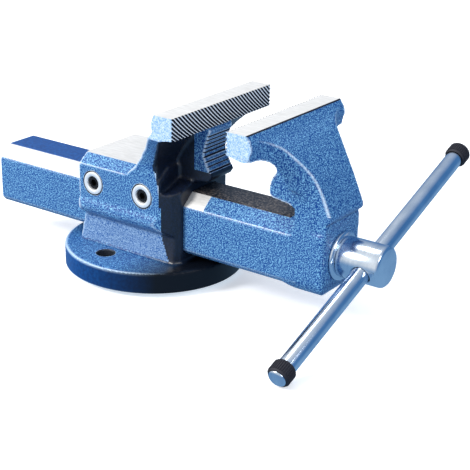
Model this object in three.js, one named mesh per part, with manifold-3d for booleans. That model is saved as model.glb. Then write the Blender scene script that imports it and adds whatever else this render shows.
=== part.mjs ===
// Bench vise with a round base, a prism slide, integral pipe jaws and a sliding tommy bar.
// Millimetres, +Z up. The origin is the centre of the base's underside, +X runs along the
// spindle towards the handle, and the jaws are JAW.width across Y.
import * as THREE from "three";
import { mergeVertices } from "three/addons/utils/BufferGeometryUtils.js";
import Module from "manifold-3d";

const wasm = await Module();
wasm.setup();

// ---------------------------------------------------------------- driving dimensions

const GAP = 0.3; // between pieces that touch on the real vise
const CIRCLE = 48; // facets round an ordinary turned piece

const JAW = { width: 120, top: 138, fixedFace: 64.7, opening: 44.9 };
const MOVING_FACE = JAW.fixedFace + JAW.opening;

const BASE = { radius: 69.4, thickness: 15.8, edge: 2.5, boltRadius: 6.75 };
const BOLT_HOLES = [
  [-10.9, -45.4],
  [-10.9, 45.4],
  [-57.5, 0],
];

const BLOCK = { rear: -42.6, front: 34.7, mouth: 47.6, half: 38, anvil: 86 };

const SLIDE = {
  rear: -140.1,
  half: 24.8,
  bottom: 22.5,
  shoulder: 60.4,
  top: 69.6,
  topHalf: 13.8,
  corner: 4,
};
const CAVITY = { half: 15.5, floor: 29, roof: 60.8, slotHalf: 9, front: 146 };

const PIPE_HALF = 14; // half the width of the two pipe jaws

const AXIS_Z = 45; // height of the spindle above the bench
const SPINDLE = { thread: 9.5, shank: 10, head: 15, rear: -132, headBack: 171.1, front: 204.7 };
const COLUMN = { rear: 142.7, front: 168, foot: 19, footRadius: 12 };

const HANDLE = {
  x: 191,
  tilt: THREE.MathUtils.degToRad(20),
  radius: 6.5,
  length: 266,
  offset: 9.8,
  dome: 2.3,
};
const RING = { outer: 8.4, length: 11, chamfer: 1.4 };

const NUT = { rear: -29.5, front: 6.5, radius: 14, stemHalf: 7.5 };
const NUT_SCREWS = [-24, -9.5];
const NUT_SCREW = { shank: 4, head: 6.5, headHeight: 7.4, sink: 8.6, tip: 32.4, socket: 6 };

const GIB = { rear: -36.6, front: 30.6, outer: 28.2, low: 59.8, high: 71.2 };
const ADJUSTERS = { x: [-28.7, 18.6], z: 65.8, radius: 5, ring: 8.9, ringDepth: 4.6, socket: 5 };

const COLLAR = { rear: 137.6, front: 145.7, radius: 14, pin: 2 };
const END_COVER = { thickness: 2.4, recess: 2.2, screws: [[-18.8, 42], [18.8, 42]], hole: 2.3 };

// ---------------------------------------------------------------- materials

const PAINT = { color: 0x2f74b8, roughness: 0.4, metalness: 0.1 };
const BRIGHT = { color: 0xc9ced4, roughness: 0.28, metalness: 1.0 };
const STEEL = { color: 0x8d9399, roughness: 0.38, metalness: 1.0 };
const BLACK_OXIDE = { color: 0x1b1c20, roughness: 0.5, metalness: 0.8 };
const BLACK_KNURL = { color: 0x15161c, roughness: 0.55, metalness: 0.0 };
const BRONZE = { color: 0xb0874a, roughness: 0.4, metalness: 1.0 };

// ---------------------------------------------------------------- solids

function toSolid(geometry) {
  const plain = geometry.clone();
  plain.deleteAttribute("normal");
  plain.deleteAttribute("uv");
  const merged = mergeVertices(plain);
  return new wasm.Manifold(
    new wasm.Mesh({
      numProp: 3,
      vertProperties: merged.attributes.position.array,
      triVerts: new Uint32Array(merged.index.array),
    }),
  );
}

function toGeometry(solid) {
  const { vertProperties, triVerts } = solid.getMesh();
  const geometry = new THREE.BufferGeometry();
  geometry.setAttribute("position", new THREE.BufferAttribute(vertProperties, 3));
  geometry.setIndex(new THREE.BufferAttribute(triVerts, 1));
  geometry.computeVertexNormals();
  return geometry;
}

function extrude(points, depth, basis, start) {
  const shape = new THREE.Shape(points.map(([a, b]) => new THREE.Vector2(a, b)));
  const geometry = new THREE.ExtrudeGeometry(shape, { depth, bevelEnabled: false });
  const [u, v, w] = basis.map((axis) => new THREE.Vector3(...axis));
  geometry.applyMatrix4(new THREE.Matrix4().makeBasis(u, v, w));
  geometry.translate(...w.multiplyScalar(start).toArray());
  return toSolid(geometry);
}

// An outline of [y, z] points run along X, of [x, z] points run across Y, or of [x, y] points
// run up Z.
function alongX(points, from, to) {
  const basis = [[0, 1, 0], [0, 0, 1], [1, 0, 0]];
  return extrude(points, to - from, basis, from);
}

function acrossY(points, half) {
  const basis = [[1, 0, 0], [0, 0, 1], [0, -1, 0]];
  return extrude(points, 2 * half, basis, -half);
}

function upZ(points, from, to) {
  const basis = [[1, 0, 0], [0, 1, 0], [0, 0, 1]];
  return extrude(points, to - from, basis, from);
}

// A half outline mirrored in its first coordinate, so that it closes on itself.
function mirrored(half) {
  return [...half, ...half.map(([a, b]) => [-a, b]).reverse()];
}

function arc(centre, radius, fromDegrees, toDegrees, steps) {
  return Array.from({ length: steps + 1 }, (_, i) => {
    const share = i / steps;
    const angle = THREE.MathUtils.degToRad(fromDegrees + (toDegrees - fromDegrees) * share);
    return [centre[0] + radius * Math.cos(angle), centre[1] + radius * Math.sin(angle)];
  });
}

// A turned piece: [distance along the axis, radius] pairs, closed on the axis or on itself.
function turned(profile, segments = CIRCLE) {
  const points = profile.map(([along, radius]) => new THREE.Vector2(radius, along));
  return new THREE.LatheGeometry(points, segments);
}

// The turned piece laid along X, with its local zero at the given place.
function turnedX(profile, at = [0, 0, 0], segments = CIRCLE) {
  const geometry = turned(profile, segments);
  geometry.rotateZ(-Math.PI / 2);
  geometry.translate(...at);
  return toSolid(geometry);
}

function turnedZ(profile, at = [0, 0, 0], segments = CIRCLE) {
  const geometry = turned(profile, segments);
  geometry.rotateX(Math.PI / 2);
  geometry.translate(...at);
  return toSolid(geometry);
}

function turnedY(profile, at = [0, 0, 0], segments = CIRCLE) {
  const geometry = turned(profile, segments);
  geometry.translate(...at);
  return toSolid(geometry);
}

function rod(from, to, radius) {
  return [
    [from, 0],
    [from, radius],
    [to, radius],
    [to, 0],
  ];
}

function tube(from, to, inner, outer) {
  return [
    [from, inner],
    [from, outer],
    [to, outer],
    [to, inner],
    [from, inner],
  ];
}

function union(solids) {
  return solids.reduce((whole, piece) => whole.add(piece));
}

function cut(solid, tools) {
  return tools.reduce((rest, tool) => rest.subtract(tool), solid);
}

function node(name, solid, look) {
  const mesh = new THREE.Mesh(toGeometry(solid), new THREE.MeshStandardMaterial(look));
  mesh.name = name;
  return mesh;
}

// ---------------------------------------------------------------- slide section

// The slide's outer section, grown outwards by a clearance.
function slideOutline(grow = 0) {
  const { half, bottom, shoulder, top, topHalf, corner } = SLIDE;
  return mirrored([
    [half - corner + grow, bottom - grow],
    [half + grow, bottom + corner - grow],
    [half + grow, shoulder + grow * 0.4],
    [topHalf + grow * 0.4, top + grow],
  ]);
}

// The slide is an upturned channel: the nut's stem passes through the slot in its floor.
function slideSection() {
  const { half, bottom, shoulder, top, topHalf, corner } = SLIDE;
  const roofChamfer = 5;
  const outer = [
    [half - corner, bottom],
    [half, bottom + corner],
    [half, shoulder],
    [topHalf, top],
  ];
  const inner = [
    [-(CAVITY.half - roofChamfer), CAVITY.roof],
    [-CAVITY.half, CAVITY.roof - roofChamfer],
    [-CAVITY.half, CAVITY.floor],
    [-CAVITY.slotHalf, CAVITY.floor],
    [-CAVITY.slotHalf, bottom],
  ];
  const otherSide = (points) => points.map(([a, b]) => [-a, b]).reverse();
  return [
    ...outer,
    ...otherSide(outer),
    ...[...inner].reverse(),
    ...otherSide([...inner].reverse()),
  ];
}

// ---------------------------------------------------------------- fixed body

function baseFlange() {
  const { radius, thickness, edge } = BASE;
  const profile = [
    [0, 0],
    [0, radius],
    [thickness - edge, radius],
    [thickness, radius - edge],
    [thickness, 0],
  ];
  return turnedZ(profile, [0, 0, 0], 96);
}

function guideBlock() {
  const { rear, front, mouth, half, anvil } = BLOCK;
  const section = mirrored([
    [33, 10],
    [31.5, 36],
    [31.5, 42],
    [half, 48],
    [half, 79.5],
    [29, anvil],
  ]);
  const plan = mirrored([
    [half, rear],
    [half, front],
    [33.5, front + 8.5],
    [27.5, mouth],
  ]).map(([y, x]) => [x, -y]);
  const noseSlope = [
    [rear - 1, 5],
    [rear - 1, anvil + 1],
    [33.2, anvil + 1],
    [36, 82.5],
    [mouth + 1, 77],
    [mouth + 1, 5],
  ];
  const noseCollar = mirrored([
    [50, 5],
    [50, 68],
    [31, 71.5],
    [12, 78.5],
  ]);
  const behindNose = mirrored([
    [50, 5],
    [50, 90],
  ]);
  const crown = alongX(noseCollar, front, mouth + 1).add(alongX(behindNose, rear - 1, front));
  return alongX(section, rear, mouth)
    .intersect(upZ(plan, 5, anvil + 1))
    .intersect(acrossY(noseSlope, 50))
    .intersect(crown);
}

function foot() {
  const profile = [
    [-47, 12],
    [-47, 16],
    [-43, 40],
    [31, 44],
    [31, 36],
    [39.5, 16],
    [39.5, 12],
  ];
  const section = mirrored([
    [34, 12],
    [31.5, 36],
    [31.5, 44],
  ]);
  return acrossY(profile, 40).intersect(alongX(section, -50, 45));
}

function neck() {
  const side = [
    [2, 78],
    [8, 84],
    [13.2, 88.9],
    [26, 103.5],
    [45.6, 124.1],
    [48, 131],
    [57, 131],
    [56, 121.5],
    [52.7, 118.9],
    [43, 108],
    [36, 98],
    [33.2, 92],
    [33.3, 78],
  ];
  const front = mirrored([
    [38, 78],
    [38, 82],
    [39.5, 92],
    [43.5, 100],
    [49, 108],
    [54.5, 114],
    [60, 120],
    [60, 131],
  ]);
  return acrossY(side, JAW.width / 2).intersect(alongX(front, 0, 60));
}

function fixedJaw() {
  const { fixedFace, top, width } = JAW;
  const profile = [
    [49.2, top],
    [fixedFace, top],
    [fixedFace, 121.6],
    [53.4, 120],
    [48.3, 121.3],
    [46.5, 124.3],
    [45.8, 132.5],
  ];
  return acrossY(profile, width / 2);
}

function fixedPipeJaw() {
  const profile = [
    [48, 123],
    [60, 121.5],
    [62.8, 118.2],
    [60, 110],
    [57, 99.5],
    [60.5, 91],
    [64.8, 84],
    [62, 79.8],
    [50, 77.5],
    [28, 77.5],
    [28, 98],
  ];
  return acrossY(profile, PIPE_HALF);
}

function adjusterPockets(side) {
  const { rear, front, outer, low, high } = GIB;
  const pocket = [
    [20, low - GAP],
    [outer + GAP, low - GAP],
    [outer + GAP, high + GAP],
    [18, high + GAP],
    [14, 67],
    [14, 62],
  ].map(([y, z]) => [side * y, z]);
  const sunk = BLOCK.half - ADJUSTERS.ringDepth - 2 * GAP;
  const holes = ADJUSTERS.x.flatMap((x) => [
    turnedY(rod(side > 0 ? 20 : -60, side > 0 ? 60 : -20, ADJUSTERS.radius + GAP), [x, 0, ADJUSTERS.z]),
    turnedY(rod(side > 0 ? sunk : -60, side > 0 ? 60 : -sunk, ADJUSTERS.ring + 0.4), [x, 0, ADJUSTERS.z]),
  ]);
  return [alongX(side > 0 ? pocket : pocket.reverse(), rear - 2 * GAP, front + 2 * GAP), ...holes];
}

function fixedBody() {
  const rough = union([
    baseFlange(),
    foot(),
    guideBlock(),
    neck(),
    fixedJaw(),
    fixedPipeJaw(),
  ]);
  const boltHoles = BOLT_HOLES.map(([x, y]) =>
    turnedZ(rod(-1, BASE.thickness + 1, BASE.boltRadius), [x, y, 0]),
  );
  const nutHoles = NUT_SCREWS.flatMap((x) => [
    turnedZ(rod(-1, 30, NUT_SCREW.shank + GAP), [x, 0, 0]),
    turnedZ(rod(-1, NUT_SCREW.sink, NUT_SCREW.head + 0.5), [x, 0, 0]),
  ]);
  const solid = cut(rough, [
    alongX(slideOutline(0.4), -80, 80),
    ...adjusterPockets(1),
    ...adjusterPockets(-1),
    ...boltHoles,
    ...nutHoles,
  ]);
  return node("fixed_body", solid, PAINT);
}

// ---------------------------------------------------------------- moving jaw

function movingArm() {
  const side = [
    [118, 136],
    [127, 136],
    [129.4, 133.8],
    [132, 131],
    [139, 126],
    [146, 119],
    [154.4, 110],
    [160, 102],
    [165, 92.5],
    [169, 83.5],
    [171, 76],
    [170.6, 74.6],
    [COLUMN.front, 73.4],
    [COLUMN.front, 60],
    [COLUMN.rear, 60],
    [COLUMN.rear, 87],
    [141.5, 93],
    [140.5, 102],
    [138.5, 108],
    [135, 114],
    [131, 118.5],
    [127.5, 120],
    [118, 120],
  ];
  const plan = mirrored([
    [60, 116],
    [60, 127.5],
    [52, 129.5],
    [45, 131.5],
    [41, 135],
    [37.5, 139],
    [33.5, 143],
    [30.5, 146],
    [27.5, 150],
    [25.2, 155],
    [SLIDE.half, 160],
    [SLIDE.half, 173],
  ]).map(([y, x]) => [x, -y]);
  const front = mirrored([
    [SLIDE.half, 55],
    [SLIDE.half, 93],
    [30, 102],
    [38, 108],
    [48, 112],
    [60, 116],
    [60, 140],
  ]);
  return acrossY(side, JAW.width / 2)
    .intersect(upZ(plan, 55, 140))
    .intersect(alongX(front, 110, 175));
}

function column() {
  const { foot: low, footRadius: round } = COLUMN;
  const half = mirrored([
    ...arc([SLIDE.half - round, low + round], round, -90, 0, 6),
    [SLIDE.half, 65],
  ]);
  const side = [
    [COLUMN.rear - 8, 56],
    [COLUMN.rear - 8, SLIDE.bottom],
    [COLUMN.rear + 3, low],
    [COLUMN.front - 5, low],
    [COLUMN.front, low + 5],
    [COLUMN.front, 70],
    [COLUMN.rear, 70],
    [COLUMN.rear, 59],
    [COLUMN.rear - 4, 56],
  ];
  return alongX(half, COLUMN.rear - 8, COLUMN.front).intersect(acrossY(side, 40));
}

function movingJawBlock() {
  const profile = [
    [MOVING_FACE, JAW.top],
    [125.7, JAW.top],
    [128.4, 134.5],
    [129.9, 130.5],
    [129.9, 127],
    [128.4, 122],
    [126, 119.2],
    [122.8, 118.8],
    [115.4, 120.3],
    [MOVING_FACE, 121.6],
  ];
  return acrossY(profile, JAW.width / 2);
}

function movingPipeJaw() {
  const profile = [
    [145, 66],
    [145, 105],
    [130, 120.5],
    [122, 121],
    [116.5, 112],
    [115.5, 108],
    [120.5, 100.3],
    [116.5, 94.8],
    [114.3, 88.1],
    [114.3, 83.5],
    [116.8, 80.6],
    [122, 79.6],
    [130, 79],
    [135, 77],
    [138.5, 73],
    [140, 66],
  ];
  return acrossY(profile, PIPE_HALF);
}

function movingJaw() {
  const rough = union([
    alongX(slideSection(), SLIDE.rear, CAVITY.front),
    column(),
    movingArm(),
    movingJawBlock(),
    movingPipeJaw(),
  ]);
  const { half, floor, roof, slotHalf, front } = CAVITY;
  const cavity = mirrored([
    [slotHalf, 0],
    [slotHalf, floor],
    [half, floor],
    [half, roof - 5],
    [half - 5, roof],
  ]);
  const coverSeat = END_COVER.recess + END_COVER.thickness + GAP;
  const seat = mirrored([
    [22.4, 26],
    [22.4, 59.2],
    [13, 67],
  ]);
  const solid = cut(rough, [
    alongX(cavity, SLIDE.rear - 1, front),
    turnedX(rod(120, 180, SPINDLE.shank + GAP), [0, 0, AXIS_Z]),
    alongX(seat, SLIDE.rear - 1, SLIDE.rear + coverSeat),
    ...END_COVER.screws.map(([y, z]) =>
      turnedX(rod(SLIDE.rear - 1, SLIDE.rear + 14, END_COVER.hole), [0, y, z], 24),
    ),
  ]);
  return node("moving_jaw", solid, PAINT);
}

// ---------------------------------------------------------------- spindle group

// The handle's own frame: local Y runs along the bar, up and away from the near side.
function handleFrame(offset = 0) {
  const frame = new THREE.Matrix4().makeRotationX(HANDLE.tilt);
  frame.setPosition(HANDLE.x, 0, AXIS_Z);
  return frame.multiply(new THREE.Matrix4().makeTranslation(0, offset, 0));
}

function turnedOnHandle(profile, offset = 0, segments = CIRCLE) {
  const geometry = turned(profile, segments);
  geometry.applyMatrix4(handleFrame(offset));
  return toSolid(geometry);
}

function spindle() {
  const { thread, shank, head, rear, headBack, front } = SPINDLE;
  const chamfer = 1.4;
  const profile = [
    [rear, 0],
    [rear, thread - 2],
    [rear + 2, thread],
    [120, thread],
    [121, shank],
    [headBack, shank],
    [headBack, head],
    [front - chamfer, head],
    [front, head - chamfer],
    [front, 0],
  ];
  const middle = (COLLAR.rear + COLLAR.front) / 2;
  const solid = cut(turnedX(profile, [0, 0, AXIS_Z], 64), [
    turnedOnHandle(rod(-40, 40, HANDLE.radius + 0.35)),
    turnedZ(rod(-20, 20, COLLAR.pin + GAP), [middle, 0, AXIS_Z], 24),
  ]);
  return node("spindle", solid, BRIGHT);
}

function thrustRing() {
  const profile = tube(COLUMN.front + GAP, SPINDLE.headBack - GAP, SPINDLE.shank + GAP, 18);
  return node("thrust_ring", turnedX(profile, [0, 0, AXIS_Z], 64), BRIGHT);
}

function retainingCollar() {
  const { rear, front, radius, pin } = COLLAR;
  const ring = turnedX(tube(rear, front, SPINDLE.shank + GAP, radius), [0, 0, AXIS_Z]);
  const hole = turnedZ(rod(-20, 20, pin + GAP), [(rear + front) / 2, 0, AXIS_Z], 24);
  return node("retaining_collar", ring.subtract(hole), STEEL);
}

function collarPin() {
  const { rear, front, radius, pin } = COLLAR;
  const half = radius - 0.8;
  const solid = turnedZ(rod(-half, half, pin), [(rear + front) / 2, 0, AXIS_Z], 24);
  return node("collar_pin", solid, STEEL);
}

function handleBar() {
  const half = HANDLE.length / 2;
  const { radius, dome } = HANDLE;
  const crown = [0, 0.35, 0.65, 0.88].map((share) => [
    half - dome * share,
    radius * Math.sqrt(1 - (1 - share) ** 2),
  ]);
  const profile = [
    ...crown.map(([along, r]) => [-along, r]),
    [-(half - dome), radius],
    [half - dome, radius],
    ...crown.reverse(),
  ];
  return node("handle_bar", turnedOnHandle(profile, HANDLE.offset), BRIGHT);
}

function handleRing(name, end) {
  const { outer, length, chamfer } = RING;
  const outside = HANDLE.length / 2 - HANDLE.dome;
  const inside = outside - length;
  const inner = HANDLE.radius + GAP;
  const profile = [
    [inside, inner],
    [inside, outer - chamfer],
    [inside + chamfer, outer],
    [outside - chamfer, outer],
    [outside, outer - chamfer],
    [outside, inner],
    [inside, inner],
  ];
  const placed = end > 0 ? profile : profile.map(([along, r]) => [-along, r]).reverse();
  return node(name, turnedOnHandle(placed, HANDLE.offset), BLACK_KNURL);
}

// ---------------------------------------------------------------- nut and its screws

function spindleNut() {
  const { rear, front, radius, stemHalf } = NUT;
  const bottom = SLIDE.bottom - 0.4 + GAP;
  const barrel = turnedX(rod(rear, front, radius), [0, 0, AXIS_Z]);
  const stem = alongX(mirrored([[stemHalf, bottom], [stemHalf, AXIS_Z]]), rear, front);
  const solid = cut(barrel.add(stem), [
    turnedX(rod(rear - 1, front + 1, SPINDLE.thread + GAP), [0, 0, AXIS_Z]),
    ...NUT_SCREWS.map((x) =>
      turnedZ(rod(0, NUT_SCREW.tip + GAP, NUT_SCREW.shank + GAP), [x, 0, 0], 32),
    ),
  ]);
  return node("spindle_nut", solid, BRONZE);
}

function hexPrism(acrossFlats) {
  const corner = acrossFlats / Math.sqrt(3);
  return arc([0, 0], corner, 0, 300, 5);
}

function nutScrew(name, x) {
  const { shank, head, headHeight, sink, tip } = NUT_SCREW;
  const under = sink - GAP;
  const profile = [
    [under - headHeight, 0],
    [under - headHeight, head],
    [under, head],
    [under, shank],
    [tip, shank],
    [tip, 0],
  ];
  const socket = upZ(hexPrism(NUT_SCREW.socket).map(([a, b]) => [a + x, b]), 0, under - headHeight + 4);
  return node(name, turnedZ(profile, [x, 0, 0], 32).subtract(socket), BLACK_OXIDE);
}

// ---------------------------------------------------------------- guide gibs and adjusters

function guideGib(name, side) {
  const { rear, front, outer, low, high } = GIB;
  const slope = (SLIDE.top - SLIDE.shoulder) / (SLIDE.half - SLIDE.topHalf);
  const clear = 0.45;
  const onChamfer = (y) => SLIDE.shoulder + clear + (SLIDE.half - y) * slope;
  const wedge = [
    [outer, low],
    [outer, high],
    [18.6, high],
    [16, onChamfer(16)],
    [26, onChamfer(26)],
    [26.2, low],
  ].map(([y, z]) => [side * y, z]);
  return node(name, alongX(side > 0 ? wedge : wedge.reverse(), rear, front), STEEL);
}

function adjustingScrew(name, side, x) {
  const inside = GIB.outer + 2 * GAP;
  const outside = BLOCK.half - 0.8;
  const ends = side > 0 ? [inside, outside] : [-outside, -inside];
  const body = turnedY(rod(...ends, ADJUSTERS.radius), [x, 0, ADJUSTERS.z], 32);
  const hex = hexPrism(ADJUSTERS.socket).map(([a, b]) => [a + x, b + ADJUSTERS.z]);
  const socket = acrossY(hex, 2.5).translate([0, side * outside, 0]);
  return node(name, body.subtract(socket), BLACK_OXIDE);
}

function lockRing(name, side, x) {
  const outside = BLOCK.half + 0.4;
  const inside = BLOCK.half - ADJUSTERS.ringDepth;
  const ends = side > 0 ? [inside, outside] : [-outside, -inside];
  const profile = tube(...ends, ADJUSTERS.radius + GAP, ADJUSTERS.ring);
  return node(name, turnedY(profile, [x, 0, ADJUSTERS.z], 40), BRIGHT);
}

// ---------------------------------------------------------------- slide end cover

function slideEndCover() {
  const outline = mirrored([
    [22, 26.4],
    [22, 58.9],
    [12.8, 66.5],
  ]);
  const face = SLIDE.rear + END_COVER.recess;
  const back = face + END_COVER.thickness;
  const plate = alongX(outline, face, back);
  const holes = END_COVER.screws.map(([y, z]) =>
    turnedX(rod(face - 1, back + 1, END_COVER.hole), [0, y, z], 24),
  );
  return node("slide_end_cover", cut(plate, holes), STEEL);
}

function endCoverScrew(name, [y, z]) {
  const head = 3.2;
  const profile = [
    [-2.1, 0],
    [-2.1, head],
    [-GAP, head],
    [-GAP, 2],
    [10, 2],
    [10, 0],
  ];
  const seat = SLIDE.rear + END_COVER.recess;
  return node(name, turnedX(profile, [seat, y, z], 24), BLACK_OXIDE);
}

// ---------------------------------------------------------------- assembly

function assemble() {
  const vise = new THREE.Group();
  const fixed = new THREE.Group();
  const moving = new THREE.Group();
  const turning = new THREE.Group();
  const handle = new THREE.Group();
  vise.add(fixed, moving);
  moving.add(turning);
  turning.add(handle);

  fixed.add(fixedBody(), spindleNut());
  NUT_SCREWS.forEach((x, i) => fixed.add(nutScrew("nut_screw_" + ["rear", "front"][i], x)));
  for (const [sideName, side] of [["left", -1], ["right", 1]]) {
    fixed.add(guideGib("guide_gib_" + sideName, side));
    ADJUSTERS.x.forEach((x, i) => {
      const place = sideName + "_" + ["rear", "front"][i];
      fixed.add(adjustingScrew("adjusting_screw_" + place, side, x));
      fixed.add(lockRing("lock_ring_" + place, side, x));
    });
  }

  moving.add(movingJaw(), slideEndCover());
  END_COVER.screws.forEach((place, i) =>
    moving.add(endCoverScrew("end_cover_screw_" + ["left", "right"][i], place)),
  );

  turning.add(spindle(), thrustRing(), retainingCollar(), collarPin());
  handle.add(handleBar(), handleRing("handle_ring_lower", -1), handleRing("handle_ring_upper", 1));
  return vise;
}

const vise = assemble();
export default vise;
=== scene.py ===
"""Bench vise: forged and hammer-enamelled, with ground faces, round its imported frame."""

import logging
import math
from dataclasses import dataclass, field, replace
from enum import Enum

import bpy
from mathutils import Matrix, Vector


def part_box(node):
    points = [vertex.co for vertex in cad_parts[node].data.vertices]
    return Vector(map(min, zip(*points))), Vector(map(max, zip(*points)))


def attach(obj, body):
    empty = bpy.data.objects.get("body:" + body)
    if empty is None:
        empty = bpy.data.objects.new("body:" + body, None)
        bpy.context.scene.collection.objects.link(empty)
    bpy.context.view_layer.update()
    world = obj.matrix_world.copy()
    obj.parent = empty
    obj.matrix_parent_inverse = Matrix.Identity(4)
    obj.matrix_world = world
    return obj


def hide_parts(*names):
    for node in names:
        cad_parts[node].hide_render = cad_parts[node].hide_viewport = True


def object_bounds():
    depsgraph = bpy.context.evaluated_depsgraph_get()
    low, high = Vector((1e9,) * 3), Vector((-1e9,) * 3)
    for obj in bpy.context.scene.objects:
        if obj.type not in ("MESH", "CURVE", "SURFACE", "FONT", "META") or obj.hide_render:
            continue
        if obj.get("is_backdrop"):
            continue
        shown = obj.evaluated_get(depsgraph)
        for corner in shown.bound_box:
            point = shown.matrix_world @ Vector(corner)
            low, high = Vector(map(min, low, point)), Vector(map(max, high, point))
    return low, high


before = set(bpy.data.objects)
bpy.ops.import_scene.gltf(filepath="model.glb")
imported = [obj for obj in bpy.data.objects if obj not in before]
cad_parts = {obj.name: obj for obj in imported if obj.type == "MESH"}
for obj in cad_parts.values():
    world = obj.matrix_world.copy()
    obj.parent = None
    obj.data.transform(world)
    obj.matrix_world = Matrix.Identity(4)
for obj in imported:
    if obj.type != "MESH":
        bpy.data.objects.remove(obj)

MM = 0.001
DRAWN = 10 * MM  # radius of the circle that every outline is first drawn from
LOG = logging.getLogger("vise")
Outline = list[tuple[float, float]]

# ---------------------------------------------------------------- directions and outlines


class Run(Enum):
    """The two directions an outline is drawn in, and the one it is run along."""

    ALONG_X = ((0, 1, 0), (0, 0, 1), (1, 0, 0))
    ACROSS_Y = ((1, 0, 0), (0, 0, 1), (0, 1, 0))
    UP_Z = ((1, 0, 0), (0, 1, 0), (0, 0, 1))


class Cut(Enum):
    """How one solid acts on another."""

    ADD = "UNION"
    TAKE = "DIFFERENCE"
    KEEP = "INTERSECT"


@dataclass(frozen=True)
class Extent:
    """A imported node's box, in millimetres."""

    low: Vector
    high: Vector

    @classmethod
    def of(cls, node: str) -> "Extent":
        """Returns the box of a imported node."""
        low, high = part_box(node)
        return cls(low / MM, high / MM)

    @property
    def middle(self) -> Vector:
        """The box's centre."""
        return (self.low + self.high) / 2


def mirrored(half: Outline) -> Outline:
    """Returns a half outline closed with its own mirror image in the first coordinate."""
    return half + [(-a, b) for a, b in reversed(half)]


def turned_over(outline: Outline) -> Outline:
    """Returns an outline with its two coordinates swapped."""
    return [(b, a) for a, b in outline]


def eased(line: Outline, rounds: int = 2) -> Outline:
    """Returns an open line with its corners cut, its two ends kept."""
    for _ in range(rounds):
        cut = [line[0]]
        for (xa, ya), (xb, yb) in zip(line, line[1:]):
            cut.append((0.75 * xa + 0.25 * xb, 0.75 * ya + 0.25 * yb))
            cut.append((0.25 * xa + 0.75 * xb, 0.25 * ya + 0.75 * yb))
        line = cut + [line[-1]]
    return line


def aimed(at: Vector, axis: Vector) -> Matrix:
    """Returns the move that brings Z onto an axis through a place in millimetres."""
    return Matrix.Translation(at * MM) @ axis.to_track_quat("Z", "Y").to_matrix().to_4x4()


# ---------------------------------------------------------------- shaping


def deselect() -> None:
    """Leaves nothing selected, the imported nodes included."""
    bpy.ops.object.select_all(action="DESELECT")


def hold(piece: bpy.types.Object) -> None:
    """Makes a piece the only one that operators act on."""
    deselect()
    piece.select_set(True)
    bpy.context.view_layer.objects.active = piece


def close_up() -> None:
    """Merges doubled points and turns the faces outwards, in edit mode."""
    bpy.ops.mesh.select_all(action="SELECT")
    bpy.ops.mesh.remove_doubles(threshold=0.002 * MM)
    bpy.ops.mesh.dissolve_degenerate(threshold=0.001 * MM)
    bpy.ops.mesh.delete_loose()
    bpy.ops.mesh.select_all(action="SELECT")
    bpy.ops.mesh.normals_make_consistent(inside=False)


def finish_with(piece: bpy.types.Object, kind: str, **settings: object) -> None:
    """Adds a modifier to a piece and applies it.

    Args:
        piece: the piece to change.
        kind: the modifier's type.
        settings: the modifier's settings by name.
    """
    modifier = piece.modifiers.new(kind.lower(), kind)
    for key, value in settings.items():
        setattr(modifier, key, value)
    hold(piece)
    bpy.ops.object.modifier_apply(modifier=modifier.name)


def prism(
    name: str,
    outline: Outline,
    run: Run,
    start: float,
    end: float,
    finish: bpy.types.Material | None = None,
) -> bpy.types.Object:
    """Draws an outline from a filled circle and extrudes it.

    Args:
        name: the piece's name.
        outline: its corners in millimetres, in the two directions of the run.
        run: the direction of the extrusion.
        start: where it starts along that direction.
        end: where it ends.
        finish: the material of the faces.

    Returns:
        The closed solid.
    """
    deselect()
    bpy.ops.mesh.primitive_circle_add(vertices=len(outline), radius=DRAWN, fill_type="NGON")
    piece = bpy.context.active_object
    piece.name = name
    across, up, along = (Vector(v) for v in run.value)
    for vertex, (a, b) in zip(piece.data.vertices, outline):
        vertex.co = (across * a + up * b + along * start) * MM
    bpy.ops.object.mode_set(mode="EDIT")
    bpy.ops.mesh.select_all(action="SELECT")
    bpy.ops.mesh.extrude_region_move(
        TRANSFORM_OT_translate={"value": along * ((end - start) * MM)}
    )
    bpy.ops.mesh.select_all(action="SELECT")
    bpy.ops.mesh.normals_make_consistent(inside=False)
    bpy.ops.object.mode_set(mode="OBJECT")
    if finish:
        piece.data.materials.append(finish)
    return piece


def block(
    name: str, low: tuple, high: tuple, finish: bpy.types.Material | None = None
) -> bpy.types.Object:
    """Returns a square-cornered block between two corners, in millimetres."""
    outline = [(low[1], low[2]), (high[1], low[2]), (high[1], high[2]), (low[1], high[2])]
    return prism(name, outline, Run.ALONG_X, low[0], high[0], finish)


def spun(
    name: str,
    profile: Outline,
    at: Vector | tuple,
    axis: Vector | tuple,
    finish: bpy.types.Material | None = None,
    steps: int = 64,
) -> bpy.types.Object:
    """Spins a closed profile of (distance along the axis, radius) pairs.

    Args:
        name: the piece's name.
        profile: the corners in millimetres.
        at: where distance zero lies.
        axis: the direction of the axis.
        finish: the material of the faces.
        steps: the faces round the axis.

    Returns:
        The closed solid.
    """
    deselect()
    bpy.ops.mesh.primitive_circle_add(vertices=len(profile), radius=DRAWN, fill_type="NOTHING")
    piece = bpy.context.active_object
    piece.name = name
    for vertex, (along, radius) in zip(piece.data.vertices, profile):
        vertex.co = Vector((radius, 0, along)) * MM
    bpy.ops.object.mode_set(mode="EDIT")
    bpy.ops.mesh.select_all(action="SELECT")
    bpy.ops.mesh.spin(steps=steps, angle=math.tau, center=(0, 0, 0), axis=(0, 0, 1))
    close_up()
    bpy.ops.object.mode_set(mode="OBJECT")
    piece.data.transform(aimed(Vector(at), Vector(axis)))
    if finish:
        piece.data.materials.append(finish)
    return piece


def combine(piece: bpy.types.Object, tool: bpy.types.Object, how: Cut) -> bpy.types.Object:
    """Adds, takes away or keeps what a tool solid shares with a piece, and uses it up."""
    finish_with(
        piece,
        "BOOLEAN",
        operation=how.value,
        solver="MANIFOLD",
        material_mode="TRANSFER",
        object=tool,
    )
    bpy.data.objects.remove(tool)
    return piece


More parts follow.
